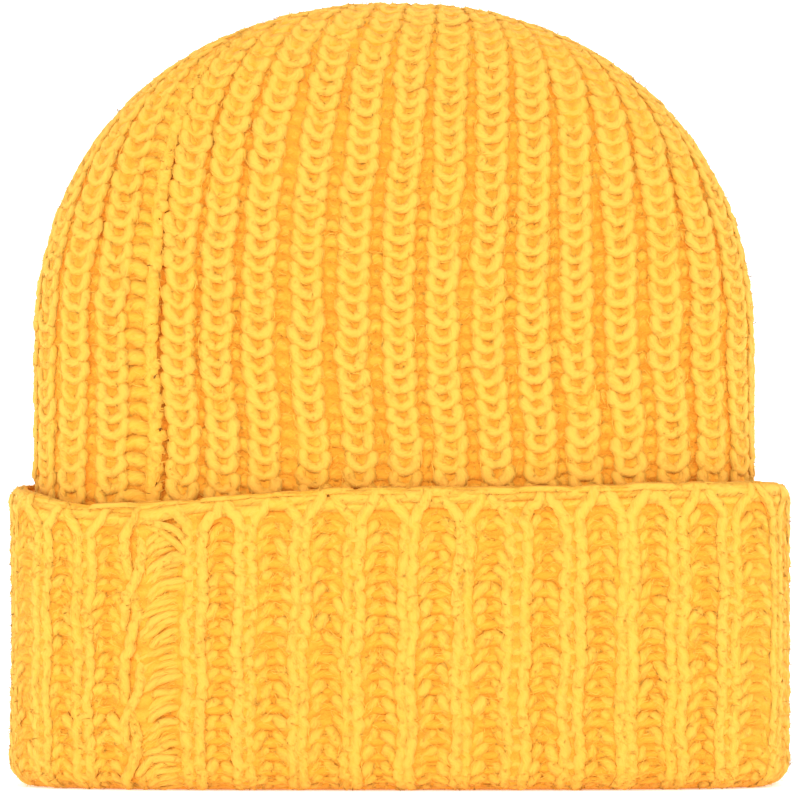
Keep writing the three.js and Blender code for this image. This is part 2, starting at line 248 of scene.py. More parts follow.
# The cuff's section is carried round its oval: a flat rest, a quarter ellipse at the corner, the
# upright face as high as the wavy edge, a half circle over the edge, and the inner face down into
# the pocket.
def cuffCloth(c):
    ox, oy, passed = ovalRound(c)
    share = np.arange(gridAcross) / gridAcross
    swing = 2 * math.pi
    spread = np.sin(swing * (share - c["frontShare"])) - math.sin(-swing * c["frontShare"])
    at = np.mod(share + c["frontSpread"] / swing * spread, 1) * passed[-1]
    x, y = np.interp(at, passed, ox), np.interp(at, passed, oy)
    dx, dy = np.roll(x, -1) - np.roll(x, 1), np.roll(y, -1) - np.roll(y, 1)
    length = np.hypot(dx, dy)
    outX, outY = dy / length, -dx / length
    front = ease((10 - y) / 40)
    waves = [rise * np.exp(-(((x - mid) / width) ** 2)) for mid, width, rise in edgeWaves]
    top = c["height"] + front * sum(waves)
    flat = np.linspace(-c["flatTo"] - 2, -c["cornerIn"], 5)
    corner = np.linspace(0, math.pi / 2, 13)[1:]
    half = c["thickness"] / 2
    over = np.linspace(0, math.pi, 13)
    # the foot's section as distance out and height
    footD = np.concatenate([flat, -c["cornerIn"] * (1 - np.sin(corner))])
    footZ = np.concatenate([0 * flat, c["cornerUp"] * (1 - np.cos(corner))])
    foot = resample(footD, footZ, int(foldCourses * 4) + 1)
    face = np.linspace(0, 1, c["courses"] * 4 + 1)[1:]
    cap = resample(-half + half * np.cos(over), half * np.sin(over), int(edgeCourses * 2 * 4))
    inner = np.linspace(0, 1, int(insideCourses * 4) + 1)[1:]
    d = np.concatenate([foot[0], 0 * face, cap[0], 0 * inner - c["thickness"]])
    d = d[None, :] + 0 * x[:, None]
    edge = (top - c["edgeHeight"])[:, None]
    z = [
        foot[1][None, :] + 0 * x[:, None],
        c["cornerUp"] + face[None, :] * (edge - c["cornerUp"]),
        edge + cap[1][None, :] * (c["edgeHeight"] / half),
        edge - c["pocketDepth"] * inner[None, :],
    ]
    z = np.concatenate(z, axis=1)
    # the upright face swells a little in the middle of its height
    swell = np.sin(math.pi * np.clip((z - c["cornerUp"]) / c["swellHeight"], 0, 1)) * (d > -1)
    turn = 2 * math.pi * share[:, None]
    bumps = 0.35 * np.sin(3 * turn + 1) + 0.25 * np.sin(7 * turn + 2) + 0.2 * np.sin(11 * turn)
    d = d + swell * bumps
    grid = np.stack([x[:, None] + outX[:, None] * d, y[:, None] + outY[:, None] * d, z], -1)
    return Cloth(grid, cuffRound, (grid.shape[1] - 1) / 4, -foldCourses)


# A polyline (a, b) cut into equal steps.
def resample(a, b, count):
    passed = passedAfter(np.hypot(np.diff(a), np.diff(b)))
    at = np.linspace(0, passed[-1], count)
    return np.interp(at, passed, a), np.interp(at, passed, b)


cuffSkin = cuffCloth(cuff)
cuffWander = rng.normal(0, 1, (5, 3))


# The cuff's cloth with columns that wander a little and courses that wave.
def cuffPlace(u, v, lift):
    turn = 2 * math.pi * u / cuffRound
    low = np.mod(u + 14, cuffRound) - 14
    right = ease((low - 11.3) / 0.9) * (1 - ease((low - 12.5) / 9))
    left = ease((-2.1 - low) / 0.9) * (1 - ease((-3.3 - low) / 9))
    across = u + 0.27 * (right - left)  # the cuff is folded sharply at its ends
    for k, (a, b, c) in enumerate(cuffWander):
        across = across + 0.016 * a * np.sin((k + 1) * turn + 0.22 * (k + 1) * v + 3 * b + c)
        v = v + 0.04 * b * np.sin((k + 2) * turn + 3 * c + a)
    return cuffSkin.place(across, v, lift - cuff["sink"])


cloths = {"crown": crownPlace, "cuff": cuffPlace}
print("cuff surface worked out")


# Quads from each of the first steps of m rows of n points to the next row, closed round n, with
# the row and the column of each corner.
def gridFaces(m, n, steps):
    i, j = pairs(np.arange(steps), np.arange(n))
    i1, j1 = (i + 1) % m, (j + 1) % n
    quads = np.stack([i * n + j, i * n + j1, i1 * n + j1, i1 * n + j], -1)
    return quads, np.stack([i, i, i + 1, i + 1], -1), np.stack([j, j + 1, j + 1, j], -1)


# Puts a mesh, light or camera into the scene.
def addObject(name, data):
    ob = bpy.data.objects.new(name, data)
    bpy.context.scene.collection.objects.link(ob)
    return ob


noTris, noQuads = np.zeros((0, 3), int), np.zeros((0, 4), int)


# Puts whole arrays into a mesh: verts (n, 3) in mm, quads (k, 4), tris (t, 3), one uv per face
# corner, one number or vector per vertex.
def newMesh(name, verts, quads, tris=noTris, uvs={}, values={}):
    corners = np.concatenate([quads.ravel(), tris.ravel()])
    totals = np.repeat([4, 3], [len(quads), len(tris)])
    me = bpy.data.meshes.new(name)
    me.vertices.add(len(verts))
    me.vertices.foreach_set("co", (verts * 0.001).astype(np.float32).ravel())
    me.loops.add(len(corners))
    me.loops.foreach_set("vertex_index", corners.astype(np.int32))
    me.polygons.add(len(totals))
    starts = np.concatenate([[0], np.cumsum(totals)[:-1]])
    me.polygons.foreach_set("loop_start", starts.astype(np.int32))
    me.update(calc_edges=True)
    for layer, corner in uvs.items():
        made = me.uv_layers.new(name=layer, do_init=False)
        made.uv.foreach_set("vector", corner.astype(np.float32).ravel())
    for key, value in values.items():
        vectors = value.size == 3 * len(verts)
        made = me.attributes.new(key, "FLOAT_VECTOR" if vectors else "FLOAT", "POINT")
        made.data.foreach_set("vector" if vectors else "value", value.astype(np.float32).ravel())
    me.shade_smooth()
    return addObject(name, me)


# A smooth row of points through a few knots (Catmull-Rom), spaced evenly in its own parameter.
def curveThrough(knots, count):
    knots = np.asarray(knots, float)
    padded = np.concatenate([[2 * knots[0] - knots[1]], knots, [2 * knots[-1] - knots[-2]]])
    t = np.linspace(0, len(knots) - 1, count)
    i = np.minimum(t.astype(int), len(knots) - 2)
    f = (t - i)[:, None]
    a, b, c, d = padded[i], padded[i + 1], padded[i + 2], padded[i + 3]
    square, cube = 2 * a - 5 * b + 4 * c - d, 3 * b - a - 3 * c + d
    return 0.5 * (2 * b + (c - a) * f + square * f**2 + cube * f**3)


fuzz = {"shortest": 1.8, "longest": 5.0, "halfWidth": 0.08, "rise": 0.22, "spread": 0.95}
hairs = {}


# Picks places on the outer half of the stitches and keeps a bent hair for each: it leaves at a
# random angle to the yarn's way (normal, spread in radians), rises a little and comes down on its
# neighbours.
def growHairs(region, perStitch, centre, along, side, outward, fat, wide, flat, lift, cloth):
    count, rings = fat.shape
    n = int(count * perStitch)
    k, r = rng.integers(0, count, n), rng.integers(1, rings - 1, n)
    phi = rng.uniform(0.15, math.pi - 0.15, n)[:, None]
    t, a, o, f = along[k, r], side[k, r], outward[k, r], fat[k, r][:, None]
    # rooted a little inside the yarn
    root = centre[k, r] + f * 0.93 * (a * wide * np.cos(phi) + o * flat * np.sin(phi))
    lateral = -a * np.sin(phi) + o * np.cos(phi)
    turn = rng.normal(0, fuzz["spread"], (n, 1))
    way = rng.choice([-1.0, 1.0], (n, 1))
    length = rng.uniform(fuzz["shortest"], fuzz["longest"], (n, 1))
    first = way * t * np.cos(turn) + lateral * np.sin(turn)
    swing = turn + rng.normal(0, 0.5, (n, 1))
    second = way * t * np.cos(swing) + a * np.sin(swing)
    rise = o * rng.uniform(0.1, 1.0, (n, 1)) * fuzz["rise"]
    middle = root + first * length * 0.45 + rise
    tip = middle + second * length * 0.55 + rise * rng.uniform(-0.9, 0.9, (n, 1))
    across = unit(np.cross(first, o))
    w = across * fuzz["halfWidth"] * rng.uniform(0.7, 1.4, (n, 1))
    verts = np.stack([root - w, root + w, middle - w, middle + w, tip], 1)
    verts[..., 2] = np.maximum(verts[..., 2], 0.1)
    hairs.setdefault(region, []).append((verts, lift[k, r] + f[:, 0] + 0.4, cloth[k, r]))


# Makes one piece of a region's hairs, each a strip of two triangles with a third for its tip.
def makeHairs(region, material, slot):
    verts, height, away = (np.concatenate(part) for part in zip(*hairs[region]))
    n = len(verts)
    base = (np.arange(n) * 5)[:, None]
    tris = np.array([[0, 1, 2], [2, 1, 3], [2, 3, 4]])
    corners = np.array([[0.1, 0.1], [0.9, 0.1], [0.1, 0.5], [0.9, 0.5], [0.5, 0.95]])[tris.ravel()]
    cells = math.ceil(math.sqrt(n))
    cell = np.stack([np.arange(n) % cells, np.arange(n) // cells], -1)
    bake = (cell[:, None, :] + corners[None]) / cells
    name = region + "_hairs"
    values = {"height": height, "shade": rng.uniform(0, 1, n), "away": away}
    values = {key: np.repeat(value, 5, axis=0) for key, value in values.items()}
    faces = (tris.reshape(1, -1) + base).reshape(-1, 3)
    ob = newMesh(name, verts.reshape(-1, 3), noQuads, faces, {"OFBake": bake}, values)
    print(name, n, "hairs,", 3 * n, "triangles")
    finishPiece(ob, material, slot)


fullPitch = 10.2  # the yarn thins where a rib is narrower than this


# Carries an oval ring along one stitch's path, for every stitch at once. A stitch's path (x in
# ribs, y in courses, lift in mm) is set at its rib and course and put on the cloth, each knot a
# little off its place. The ring is turned by the path's direction and the cloth's way out, and
# shrinks to a point at both ends. reach widens the paths where the cloth is drawn in, and yarn
# past the course in facing is lit as if it lay on that course.
def yarnTubes(
    name, region, middles, courses, knots, radius, rings, sides=5, widths=1.0, wide=1.12, flat=0.9,
    loose=0.04, perStitch=8, reach=None, facing=None, material=None, slot=None, nodes=(),
):
    place, count = cloths[region], len(courses)
    middles = middles + 0.0 * courses
    knots = np.asarray(knots, float)
    basis = curveThrough(np.eye(len(knots)), rings)
    sizes = basis @ knots[:, 3] if knots.shape[1] == 4 else np.ones(rings)
    off = rng.normal(0, 1, (count, len(knots), 3)) * [loose * 0.45, loose * 1.0, loose * 3.0]
    path = np.einsum("rk,nkc->nrc", basis, knots[None, :, :3] + off)
    v = courses[:, None] + path[..., 1] + rng.normal(0, loose, (count, 1))
    broad = reach(middles[:, None] + 0 * v, v) if reach else 1.0
    aside = rng.normal(0, loose * 0.6, (count, 1))
    u = middles[:, None] + widths * (path[..., 0] * broad + aside)
    lift = path[..., 2] + rng.normal(0, loose * 3, (count, 1))
    centre = place(u, v, lift)
    clothWay = outward = unit(place(u, v, lift + 1.0) - centre)
    if facing:
        held = np.minimum(v, facing)
        clothWay = unit(place(u, held, lift + 1.0) - place(u, held, lift))
    along = unit(np.gradient(centre, axis=1))
    side = unit(np.cross(outward, along))
    outward = np.cross(along, side)
    here = np.linalg.norm(place(u + 0.05, v, lift) - place(u - 0.05, v, lift), axis=2) * 10
    swell = sizes + np.einsum("rk,nk->nr", basis, rng.normal(0, 0.05, (count, len(knots))))
    thin = np.minimum(1, here / fullPitch) ** 0.8
    fat = radius * thin * swell * (1 + rng.normal(0, 0.04, (count, 1)))
    t = np.linspace(0, 1, rings)
    ends = np.clip(np.minimum(t, 1 - t) * 6 + 0.55, 0, 1)
    fat = fat * ends[None, :]
    if perStitch:
        growHairs(region, perStitch, centre, along, side, outward, fat, wide, flat, lift, clothWay)
    phi = 2 * math.pi * np.arange(sides) / sides + math.pi / 2  # a corner lies on the crest
    ring = (
        centre[:, :, None, :]
        + side[:, :, None, :] * (fat[:, :, None] * wide * np.cos(phi))[..., None]
        + outward[:, :, None, :] * (fat[:, :, None] * flat * np.sin(phi))[..., None]
    )
    first = centre[:, 0] - along[:, 0] * fat[:, :1] * 0.5
    last = centre[:, -1] + along[:, -1] * fat[:, -1:] * 0.5
    tips = np.stack([first, last], 1)
    verts = np.concatenate([ring.reshape(count, rings * sides, 3), tips], axis=1)
    verts[..., 2] = np.maximum(verts[..., 2], 0.05)  # flattened where it rests
    size = rings * sides + 2
    quad, row, around = gridFaces(rings, sides, rings - 1)
    s = np.arange(sides)
    last = (rings - 1) * sides
    startTri = np.stack([(s + 1) % sides, s, 0 * s + size - 2], -1)
    endTri = np.stack([last + s, last + (s + 1) % sides, 0 * s + size - 1], -1)
    tri = np.concatenate([startTri, endTri])
    base = (np.arange(count) * size)[:, None, None]
    # the yarn's own map: millimetres along it and turns round it
    steps = np.linalg.norm(np.diff(centre, axis=1), axis=2)
    gone = passedAfter(steps) + rng.uniform(0, 400, (count, 1))
    quadU, around = gone[:, row], around / sides
    quadUv = np.stack([quadU, np.broadcast_to(around, quadU.shape)], -1).reshape(-1, 2)
    endU = np.repeat(gone[:, [0, -1]], sides, 1)[..., None] + np.zeros(3)
    endV = (np.tile(s, 2) / sides)[:, None]
    triUv = np.stack([endU, np.broadcast_to(endV, endU.shape)], -1)
    # the bake's map: one small rectangle for each stitch
    cells = math.ceil(math.sqrt(count))
    cell = np.stack([np.arange(count) % cells, np.arange(count) // cells], -1) / cells
    small = np.stack([0.12 + 0.76 * (row / (rings - 1)), 0.08 + 0.84 * around], -1) / cells
    quadBake = (cell[:, None, None, :] + small[None]).reshape(-1, 2)
    tipU = np.repeat([[0.12, 0.12, 0.04], [0.88, 0.88, 0.96]], sides, 0)
    tipV = np.stack([[s + 1, s], [s, s + 1], [s + 0.5, s + 0.5]], -1).reshape(-1, 3) / sides
    tip = np.stack([tipU, 0.08 + 0.84 * tipV], -1) / cells
    triBake = (cell[:, None, None, :] + tip[None]).reshape(-1, 2)
    # each point's height picks its painted shade: the crest corner highest and painted yellowest,
    # the flanks and low yarn orange
    height = (lift[:, :, None] + fat[:, :, None] * flat * np.sin(phi)).reshape(count, -1)
    height = np.concatenate([height, lift[:, [0, -1]]], 1)
    shade = np.repeat(rng.uniform(0, 1, (count, 1)), size, 1)
    away = np.concatenate([np.repeat(clothWay, sides, 1), clothWay[:, [0, -1]]], 1)
    quads, tris = (quad[None] + base).reshape(-1, 4), (tri[None] + base).reshape(-1, 3)
    uvs = {
        "yarn": np.concatenate([quadUv, triUv.reshape(-1, 2)]),
        "OFBake": np.concatenate([quadBake, triBake]),
    }
    values = {"height": height, "shade": shade, "away": away.reshape(-1, 3)}
    ob = newMesh(name, verts.reshape(-1, 3), quads, tris, uvs, values)
    print(name, count, "stitches,", count * (2 * len(quad) + len(tri)), "triangles")
    finishPiece(ob, material or yarns[region], slot or region + "_knit", *nodes)


# A surface through rows of points (m, n, 3), closed round n. closed also joins the last row to
# the first, and tips close the first and last row at a point.
def ringShell(name, rows, closed, heights, tips=(), ribs=0, courses=0):
    m, n = rows.shape[:2]
    steps = m if closed else m - 1
    quads, row, column = gridFaces(m, n, steps)
    uv = np.stack([column / n, row / steps], -1).reshape(-1, 2) * 0.96 + 0.02
    verts, tris = rows.reshape(-1, 3), noTris
    k = np.arange(n)
    for which, tip in enumerate(tips):
        a, b = (k, k + 1) if which else (k + 1, k)
        row = (m - 1) * n if which else 0
        edge, off = (0.98, 0.995) if which else (0.02, 0.005)
        tri = np.stack([row + a % n, row + b % n, 0 * k + len(verts)], -1)
        side = np.stack([a, b, k + 0.5], -1) / n * 0.96 + 0.02
        triUv = np.stack([side, np.tile([edge, edge, off], (n, 1))], -1).reshape(-1, 2)
        verts, tris = np.concatenate([verts, [tip]]), np.concatenate([tris, tri])
        uv = np.concatenate([uv, triUv])
    values = {"height": heights, "ribs": 0 * heights + ribs, "courses": 0 * heights + courses}
    spare = np.zeros(len(verts) - heights.size)
    values = {key: np.concatenate([value.ravel(), spare]) for key, value in values.items()}
    return newMesh(name, verts, quads, tris, {"OFBake": uv}, values)


# A value on its way through a material: arithmetic on it adds Math nodes to that material.
class Socket:
    def __init__(self, maker, link):
        self.maker, self.link = maker, link

    def math(self, operation, *values):
        inputs = dict(enumerate((self, *values)))
        return self.maker.node("ShaderNodeMath", {"operation": operation}, inputs)

    def __add__(self, other):
        return self.math("ADD", other)

    def __sub__(self, other):
        return self.math("SUBTRACT", other)

    def __mul__(self, other):
        return self.math("MULTIPLY", other)


# A material with one Principled shader. node() adds any other node, and the functions below it add
# the usual ones.
class Finish:
    def __init__(self, name, fixed):
        self.material = bpy.data.materials.new(name)
        self.material.use_nodes = True
        self.tree = self.material.node_tree
        self.shader = self.tree.nodes["Principled BSDF"]
        for key, value in fixed.items():
            self.shader.inputs[key].default_value = value

    def node(self, kind, settings={}, values={}, output=0):
        made = self.tree.nodes.new(kind)
        for key, value in settings.items():
            if key == "stops":
                ramp = made.color_ramp
                while len(ramp.elements) < len(value):
                    ramp.elements.new(0.5)
                for element, (at, colour) in zip(ramp.elements, value):
                    element.position = at
                    element.color = (*colour, 1)
            else:
                setattr(made, key, value)
        for key, value in values.items():
            if isinstance(value, Socket):
                self.tree.links.new(value.link, made.inputs[key])
            else:
                made.inputs[key].default_value = value
        return Socket(self, made.outputs[output])

    def attribute(self, name, output=2):
        return self.node("ShaderNodeAttribute", {"attribute_name": name}, output=output)

    def noise(self, place, scale, detail, roughness=0.5):
        values = {"Vector": place, "Scale": scale, "Detail": detail, "Roughness": roughness}
        return self.node("ShaderNodeTexNoise", {}, values)

    def feed(self, key, value):
        self.tree.links.new(value.link, self.shader.inputs[key])

    def colour(self, stops, level):
        self.feed("Base Color", self.node("ShaderNodeValToRGB", {"stops": stops}, {0: level}))


# Painted shade and painted highlight: the yarn's tones below run from deep orange, painted where
# the yarn lies deep and on its flanks, to yellow, painted on its crests.
yarn = {
    "deep": (0.95, 0.355, 0.025),
    "low": (0.96, 0.40, 0.034),
    "middle": (0.97, 0.46, 0.052),
    "high": (0.97, 0.492, 0.071),
    "softness": 0.8,
    "fixed": {
        "Roughness": 0.9,
        "Specular IOR Level": 0.15,
        "Sheen Weight": 0.35,
        "Sheen Roughness": 0.5,
        "Sheen Tint": (1.0, 0.7, 0.25, 1.0),
    },
}
# the ramp of painted shade, from the deepest yarn to the crests
tones = zip((0.0, 0.32, 0.62, 1.0), ("deep", "low", "middle", "high"))
yarnShadeRamp = [(at, yarn[tone]) for at, tone in tones]


# Brushed yarn with painted shade and highlight: painted orange where it lies deep and yellow on its
# crests, from low to high in mm, with fine fibres that run along it and soft blotches.
def yarnFinish(name, low, high):
    f = Finish(name, yarn["fixed"])
    height, shade = f.attribute("height"), f.attribute("shade")
    uv = f.node("ShaderNodeUVMap", {"uv_map": "yarn"})
    along = f.node("ShaderNodeSeparateXYZ", {}, {0: uv})
    around = f.node("ShaderNodeSeparateXYZ", {}, {0: uv}, output=1)
    spiral = {0: along * 0.3, 1: around * 10 + along * 0.55, 2: shade * 40}
    fibres = f.noise(f.node("ShaderNodeCombineXYZ", {}, spiral), 1.0, 3.0, 0.65)
    blotch = f.noise(f.node("ShaderNodeTexCoord", output=3), 180.0, 2.0)
    # the height picks the painted shade: low yarn is painted orange and the crests yellow
    level = f.node("ShaderNodeMapRange", {}, {0: height, 1: low, 2: high})
    level = level * 0.9 + 0.1 + (fibres - 0.5) * 1.4
    level = level + (blotch - 0.5) * 0.4 + (shade - 0.5) * 0.22
    f.colour(yarnShadeRamp, level)
    # loose fibres take light from all round, so the shading leans towards the cloth's own way out,
    # less so on the yarn's flanks
    away = f.attribute("away", output=1)
    own = f.node("ShaderNodeNewGeometry", output=1)
    both, dot = {0: own, 1: away}, {"operation": "DOT_PRODUCT"}
    agree = f.node("ShaderNodeVectorMath", dot, both, output=1)
    share = {0: agree, 1: -0.3, 2: 0.4, 3: 0.1, 4: yarn["softness"]}
    between = {0: f.node("ShaderNodeMapRange", {}, share), 4: own, 5: away}
    leaning = f.node("ShaderNodeMix", {"data_type": "VECTOR"}, between, output=1)
    soft = f.node("ShaderNodeVectorMath", {"operation": "NORMALIZE"}, {0: leaning})
    relief = {"Strength": 0.6, "Distance": 0.0008, "Height": fibres, "Normal": soft}
    f.feed("Normal", f.node("ShaderNodeBump", {}, relief))
    return f.material


# The ground behind the stitches, with painted shade: deep orange knitting, painted lighter towards
# high, with soft fibres patterned in the object's own space.
def clothFinish(name, high):
    f = Finish(name, yarn["fixed"])
    place = f.node("ShaderNodeTexCoord", output=3)
    fine, broad = f.noise(place, 900.0, 3.0, 0.65), f.noise(place, 160.0, 2.0)
    level = f.node("ShaderNodeMapRange", {}, {0: f.attribute("height"), 1: 0.0, 2: high})
    # the fabric's own stitches: arcs |sin(pi course + 0.9 wave)|, the wave going round once a rib
    ribs, courses = f.attribute("ribs"), f.attribute("courses")
    arcs = (courses * math.pi + ribs * 0.9).math("SINE").math("ABSOLUTE")
    level = level + (fine - 0.5) * 0.5 + (broad - 0.5) * 0.3 + (arcs - 0.6) * 0.25
    f.colour(yarnShadeRamp, level)
    relief = {"Strength": 0.8, "Distance": 0.0008, "Height": fine + broad + arcs * 1.6}
    f.feed("Normal", f.node("ShaderNodeBump", {}, relief))
    return f.material


crownYarn = yarnFinish("crown yarn", 2.3, 3.9)
# painted shade: a copy of the yarn painted darker, used for the low-lying yarn in furrows, seams,
# bars and arches
shadedYarn = yarnFinish("shaded yarn", 1.5, 5.6)
cuffYarn = yarnFinish("cuff yarn", 0.5, 3.1)
yarns = {"crown": crownYarn, "cuff": cuffYarn}
ground = clothFinish("knit ground", 7.0)
crownGroundFinish = clothFinish("crown ground", 1.0)


# Loose fibres: between the yarn's two lightest tones, lit as the cloth below them.
def hairFinish(name):
    f = Finish(name, {"Roughness": 0.8, "Specular IOR Level": 0.1})
    f.colour([(0.0, yarn["middle"]), (1.0, yarn["high"])], f.attribute("shade"))
    f.feed("Normal", f.attribute("away", output=1))
    return f.material


fibre = hairFinish("loose fibre")


# Gives a piece its material and its body, and hides the CAD nodes that it stands for. The slot is
# not used.
def finishPiece(ob, material, slot, *nodes):
    ob.data.materials.append(material)
    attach(ob, "root")
    if nodes:
        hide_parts(*nodes)


print("finishes made")

crownLook = {
    "firstCourse": 12,  # the cuff hides the courses below
    "loopRadius": 1.4,
    "furrowRadius": 1.2,
    "arcRadius": 1.25,
    "selvedgeRadius": 1.75,
    "seamBarRadius": 1.3,
    # the ground's lift and its painted shade from a rib's left edge to its right: furrow, rail,
    # hollow, rail; the furrow and the hollow are painted darkest
    "groundLift": (2.0, 2.45, 3.15, 3.15, 2.8, 3.15, 3.15, 2.45),
    "groundShade": (0.0, 0.12, 0.58, 0.45, 0.0, 0.45, 0.58, 0.12),
}


# The fabric behind the loops. Outside, it rises and falls across each rib by the values of
# groundLift, less on the dome and round the ends; inside, by a cosine the other way round. A
# dimple takes in the gathered end. Its colour is painted shade, darker in its furrows, hollows,
# grooves and dimple.
def crownGround():
    profile, tone = np.array(crownLook["groundLift"]), np.array(crownLook["groundShade"])
    at = np.linspace(0, 1, len(profile), endpoint=False)
    left = ribMiddle - ribWidth / 2
    u = (left[:, None] + ribWidth[:, None] * at[None, :]).ravel()
    wave = np.tile(np.cos(2 * math.pi * (at - 0.5)), len(left))
    v = np.linspace(0, crown["courses"], crown["courses"] + 1)
    uu, vv = np.meshgrid(u, v)
    fade = ease((crown["courses"] - vv) / 6)
    pitch = crownSkin.read(crownSkin.pitch, uu, vv)[..., 0] / crown["ribPitch"]
    relief = np.tile(profile, len(left))[None, :] + 0 * vv
    # shallower furrows on the dome and round the ends
    flatter = 0.3 * ease((vv - 33) / 6) + 0.35 * ease((vv - 40) / 4)
    out = np.abs(crownPlace(uu, vv, 0 * vv)[..., 0])
    flatter = np.maximum(flatter, 0.5 * ease((out - 82) / 12))
    relief = relief + (profile.max() - relief) * flatter
    # the ground's colour is painted shade, darkest in the furrows and hollows
    tones = np.tile(tone, len(left))[None, :] + 0 * vv
    low = np.mod(uu + evenFrom, crownRound) - evenFrom
    filled = ease((low + 1.15) / 0.3) * ease((0.1 - low) / 0.3)  # thicker beside the seam
    lift = relief + (2.5 - relief) * filled
    lift = lift + 0.4 * np.clip((1 - pitch) * 4, 0, 1) - 0.35 * np.clip((0.65 - pitch) * 3, 0, 1)
    tones = tones + (0.25 - tones) * filled
    # painted shade: the seam's groove is painted darker as well as sunk
    groove = np.clip(1 - np.abs(low + 0.04) / 0.1, 0, 1)  # the seam's line
    lift, tones = lift - 1.5 * groove, tones - 0.5 * groove
    # the drawn-in top shows no deep gaps, so it is given less painted shade
    tones = tones + (0.45 - tones) * np.clip((0.7 - pitch) * 3, 0, 1)
    outer = crownPlace(uu, vv, lift)
    reversedRelief = crown["sink"] - crown["wall"] - 0.6 + 0.6 * wave[None, :] * fade
    inner = crownPlace(uu, vv, reversedRelief)[::-1]
    facing, deep, hole = gatherFacing, crown["dimpleDepth"], crown["dimpleRadius"]
    arm = outer[-1] - gatherMiddle
    arm = unit(arm - np.outer(arm @ facing, facing))
    dimple = [
        gatherMiddle + arm * (hole + 1.6) - facing * deep * 0.45,
        gatherMiddle + arm * hole - facing * deep,
    ]
    rows = np.concatenate([inner, outer, np.stack(dimple)])
    # painted shade: the inner face is painted darker in its grooves, and the dimple dark
    inside = 0.35 - 0.2 * np.broadcast_to(wave, tones.shape)
    heights = np.concatenate([inside, tones, np.full((2, len(u)), 0.2)])
    ceiling = gatherMiddle - facing * (crown["wall"] + deep)
    floor = gatherMiddle - facing * (deep + 0.3)
    courses = np.concatenate([vv[::-1], vv, np.full((2, len(u)), crown["courses"])])
    ob = ringShell("crown_fabric", rows, False, heights, (ceiling, floor), wave, courses)
    finishPiece(ob, crownGroundFinish, "crown_knit", "crown")


crownGround()


# A stitch with left and right changed over.
def mirrored(knots):
    return [(-x, *rest) for x, *rest in knots][::-1]


# A stitch that is given from its left end to its middle, carried on to its right end.
def carriedOn(knots):
    return knots + mirrored(knots[:-1])


# across in ribs, up in courses, lift in mm, share of the yarn's radius
loopKnots = carriedOn([
    (-0.225, 1.18, 2.3, 0.95),
    (-0.248, 0.92, 2.75, 1.1),
    (-0.258, 0.64, 2.85, 1.18),
    (-0.234, 0.34, 2.85, 1.18),
    (-0.165, 0.11, 2.95, 1.08),
    (-0.080, 0.00, 2.9, 0.96),
    (0.0, -0.03, 2.85, 0.9),
])
furrowKnots = carriedOn([(-0.3, -0.22, 1.2), (-0.19, 0.18, 1.7), (0, 0.42, 1.9)])
arcKnots = [
    (-0.34, -0.2, 1.7), (-0.22, 0.12, 2.2), (-0.02, 0.34, 2.5), (0.16, 0.26, 2.5), (0.3, 0.02, 2.0),
]
seamBarKnots = [
    (-0.32, 0.12, 1.9), (-0.25, 0.0, 2.5), (-0.19, -0.02, 2.6), (-0.14, 0.06, 2.2),
    (-0.11, 0.15, 1.4),
]


# Ribs keep their breadth on the dome while there is room, so that the gutters narrow first: full
# breadth over the breadth here, within limits.
def keepBroad(u, v):
    right, left = crownPlace(u + 0.25, v, 0 * v), crownPlace(u - 0.25, v, 0 * v)
    pitch = 2 * np.linalg.norm(right - left, axis=-1)
    return np.clip(crown["ribPitch"] / pitch, 0.9, 1.28)


# The crown's yarn: loops on the ribs, arched stitches in the furrows between them, and the
# seam's own arcs, strand and bars. Ribs stand a little higher or lower than each other.
def crownStitches():
    courses = np.arange(crownLook["firstCourse"], crown["courses"] - 1)
    phase = rng.uniform(-0.12, 0.12, len(ribMiddle))
    rib, course = pairs(np.arange(len(ribMiddle) - 1), courses)
    half = len(ribMiddle) // 2
    for side, chosen in (("right", rib < half), ("left", rib >= half)):
        r, c = rib[chosen], course[chosen]
        yarnTubes(
            "crown_loops_" + side, "crown", loopMiddle[r], c + phase[r], loopKnots,
            crownLook["loopRadius"], 11, flat=0.74, perStitch=12, reach=keepBroad,
        )
    edge = ribMiddle[:-1] + ribWidth[:-1] / 2
    at, level = edge[rib], course + phase[rib]
    plain = rib < len(edge) - 1  # the gutter left of the seam is filled out with arcs
    yarnTubes(
        "crown_furrows", "crown", at[plain], level[plain] + 0.3, furrowKnots,
        crownLook["furrowRadius"], 7, wide=1.6, flat=0.7, material=shadedYarn,
    )
    yarnTubes(
        "crown_seam_arcs", "crown", at[~plain], level[~plain] + 0.4, arcKnots,
        crownLook["arcRadius"], 9, wide=1.7, flat=0.75, loose=0.06, material=shadedYarn,
    )
    # the fabric's own edge left of the seam: one strand, tied to the seam by a short bar in each
    # course
    rows = np.arange(crownLook["firstCourse"], crown["courses"] - 2, 0.25)
    wave = np.cos(2 * math.pi * rows)
    strand = np.stack([-0.29 + 0.03 * wave, rows, 2.3 + 0.15 * wave], -1)
    yarnTubes(
        "crown_selvedge", "crown", 0, np.zeros(1), strand, crownLook["selvedgeRadius"],
        2 * len(rows), 6, wide=1.3, flat=0.62, loose=0.02, perStitch=400,
    )
    yarnTubes(
        "crown_seam_bars", "crown", 0, courses + 0.45, seamBarKnots, crownLook["seamBarRadius"], 7,
        wide=1.5, flat=0.75,
    )


crownStitches()
print("crown knitted")

cuffLook = {"bridgeRadius": 1.1, "lobeRadius": 1.2, "barRadius": 1.05, "groundLift": 1.8}
groundAcross = np.arange(cuff["columns"] * 6) / (cuff["columns"] * 6) * cuffRound
# distance out from the upright face, and height
lipRows = [
    (-6.6, 9.0), (-7.4, 6.4), (-10.5, 5.9), (-13.0, 5.7), (-14.4, 4.6), (-14.8, 2.8), (-14.4, 1.0),
]


